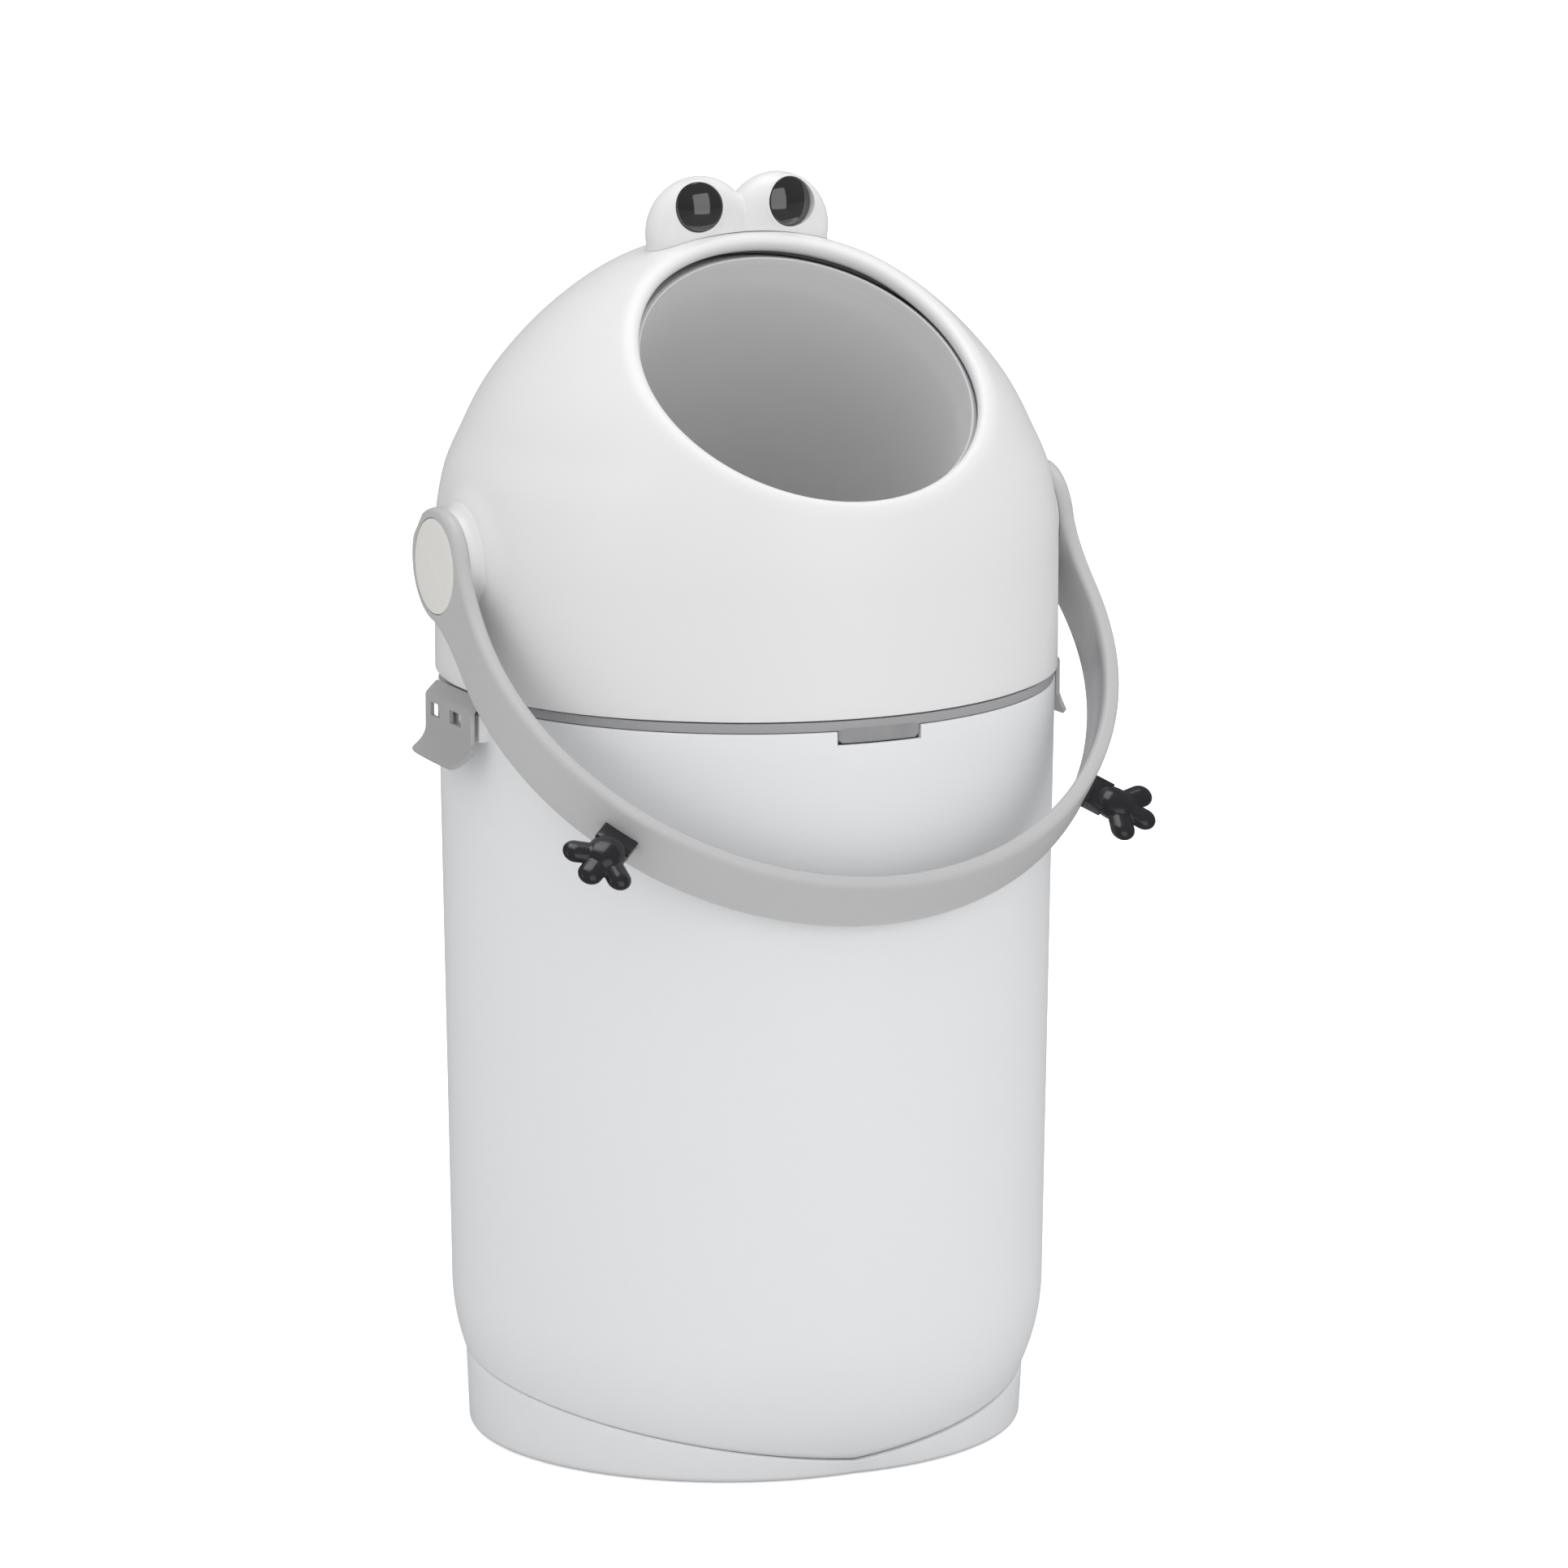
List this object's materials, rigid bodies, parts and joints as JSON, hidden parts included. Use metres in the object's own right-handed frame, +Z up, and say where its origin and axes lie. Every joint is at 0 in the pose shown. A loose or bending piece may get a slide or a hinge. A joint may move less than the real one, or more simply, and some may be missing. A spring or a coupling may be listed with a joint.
{
  "type": "nappy bin",
  "caption": "Free-standing nappy bin: a domed head with a turning drum and a falling piston, worked by a hoop handle, clipped on a round body.",
  "frame": {"origin": "centre of the flat underside, on the upright axis of the body and head", "axes": "+Z up, -Y towards the mouth and the front, X along the axle of the drum"},
  "size_m": [0.31, 0.3029, 0.5762],
  "materials": {
    "white_plastic": "satin moulded white",
    "light_grey_plastic": "satin moulded light grey",
    "warm_grey_plastic": "satin moulded warm light grey",
    "mid_grey_plastic": "satin moulded mid grey",
    "bore_grey_plastic": "smooth moulded grey",
    "black_gloss_plastic": "polished black",
    "seal_rubber": "soft seal rubber",
    "screw_steel": "plain zinc-plated steel"
  },
  "bodies": {
    "bin": {"bin_body": "white_plastic", "base_foot": "white_plastic", "foot_pads": "seal_rubber", "foot_screws": "screw_steel"},
    "head": {"head_ring": "mid_grey_plastic", "head_gasket": "seal_rubber", "dome_shell": "white_plastic", "mouth_seal": "seal_rubber", "drum_seal": "seal_rubber", "ring_screws": "screw_steel", "bearing_bush_left": "light_grey_plastic", "bearing_bush_right": "light_grey_plastic", "eye_pod": "white_plastic", "eye_lens_left": "black_gloss_plastic", "eye_lens_right": "black_gloss_plastic", "eye_pod_screws": "screw_steel", "clip_pin_left": "screw_steel", "clip_pin_right": "screw_steel"},
    "drum": {"drum_half_left": "light_grey_plastic", "drum_half_right": "light_grey_plastic", "drum_sleeve": "bore_grey_plastic", "drum_end_ring_front": "light_grey_plastic", "drum_end_ring_rear": "light_grey_plastic", "drum_screws": "screw_steel", "trunnion_left": "light_grey_plastic", "trunnion_right": "light_grey_plastic", "handle_strap": "light_grey_plastic", "hub_cap_left": "warm_grey_plastic", "hub_cap_right": "warm_grey_plastic", "hub_screws": "screw_steel", "hand_left": "black_gloss_plastic", "hand_right": "black_gloss_plastic"},
    "piston": {"piston_disc_front": "bore_grey_plastic", "piston_disc_rear": "bore_grey_plastic", "piston_barrel": "bore_grey_plastic", "piston_weight": "screw_steel", "piston_seals": "seal_rubber", "piston_bolt": "screw_steel"},
    "clip_left": {"clip_left": "mid_grey_plastic"},
    "clip_right": {"clip_right": "mid_grey_plastic"}
  },
  "joints": [
    {"name": "head_lift", "type": "slide", "parent": "bin", "child": "head", "axis": [0, 0, 1], "range_m": [0, 0.12]},
    {"name": "drum_turn", "type": "hinge", "parent": "head", "child": "drum", "pos_m": [0, 0, 0.4105], "axis": [-1, 0, 0], "range_deg": [0, 180]},
    {"name": "piston_fall", "type": "slide", "parent": "drum", "child": "piston", "axis": [0, -0.6101, 0.7923], "range_m": [0, 0.149]},
    {"name": "clip_left_swing", "type": "hinge", "parent": "head", "child": "clip_left", "pos_m": [-0.1428, 0, 0.3495], "axis": [0, 1, 0], "range_deg": [0, 25]},
    {"name": "clip_right_swing", "type": "hinge", "parent": "head", "child": "clip_right", "pos_m": [0.1428, 0, 0.3495], "axis": [0, -1, 0], "range_deg": [0, 25]}
  ]
}
